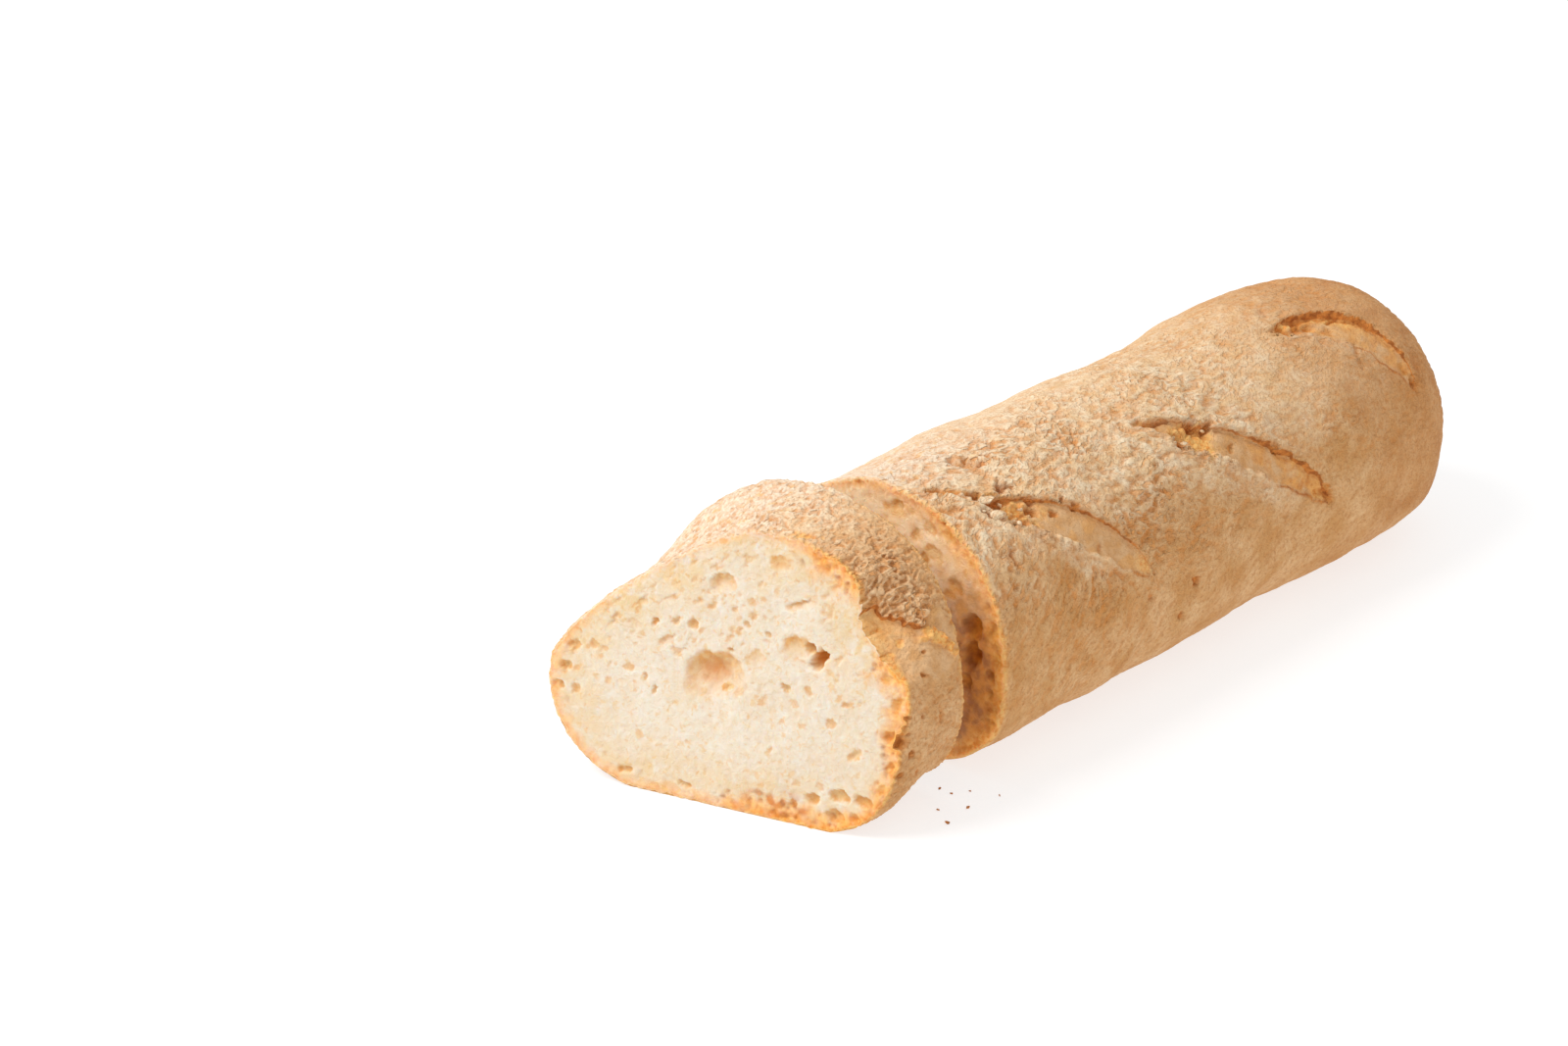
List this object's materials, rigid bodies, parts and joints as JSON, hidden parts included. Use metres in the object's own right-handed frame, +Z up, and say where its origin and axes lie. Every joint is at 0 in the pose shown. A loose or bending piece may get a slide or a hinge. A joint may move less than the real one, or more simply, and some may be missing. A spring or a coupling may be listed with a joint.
{
  "type": "baguette",
  "caption": "Crusty baguette with slashed top, cut across, its rounded end lying flat and a thick slice of pale open crumb still standing at the cut.",
  "frame": {"origin": "middle of the bread's bounding box, on the surface it lies on", "axes": "+X along the bread from the slice to the rounded end, +Y away from the scored side, +Z up"},
  "size_m": [0.2093, 0.0706, 0.0536],
  "materials": {
    "crust": "matte",
    "crumb": "matte"
  },
  "bodies": {
    "root": {"loaf": "crust", "slice": "crumb"}
  },
  "joints": []
}
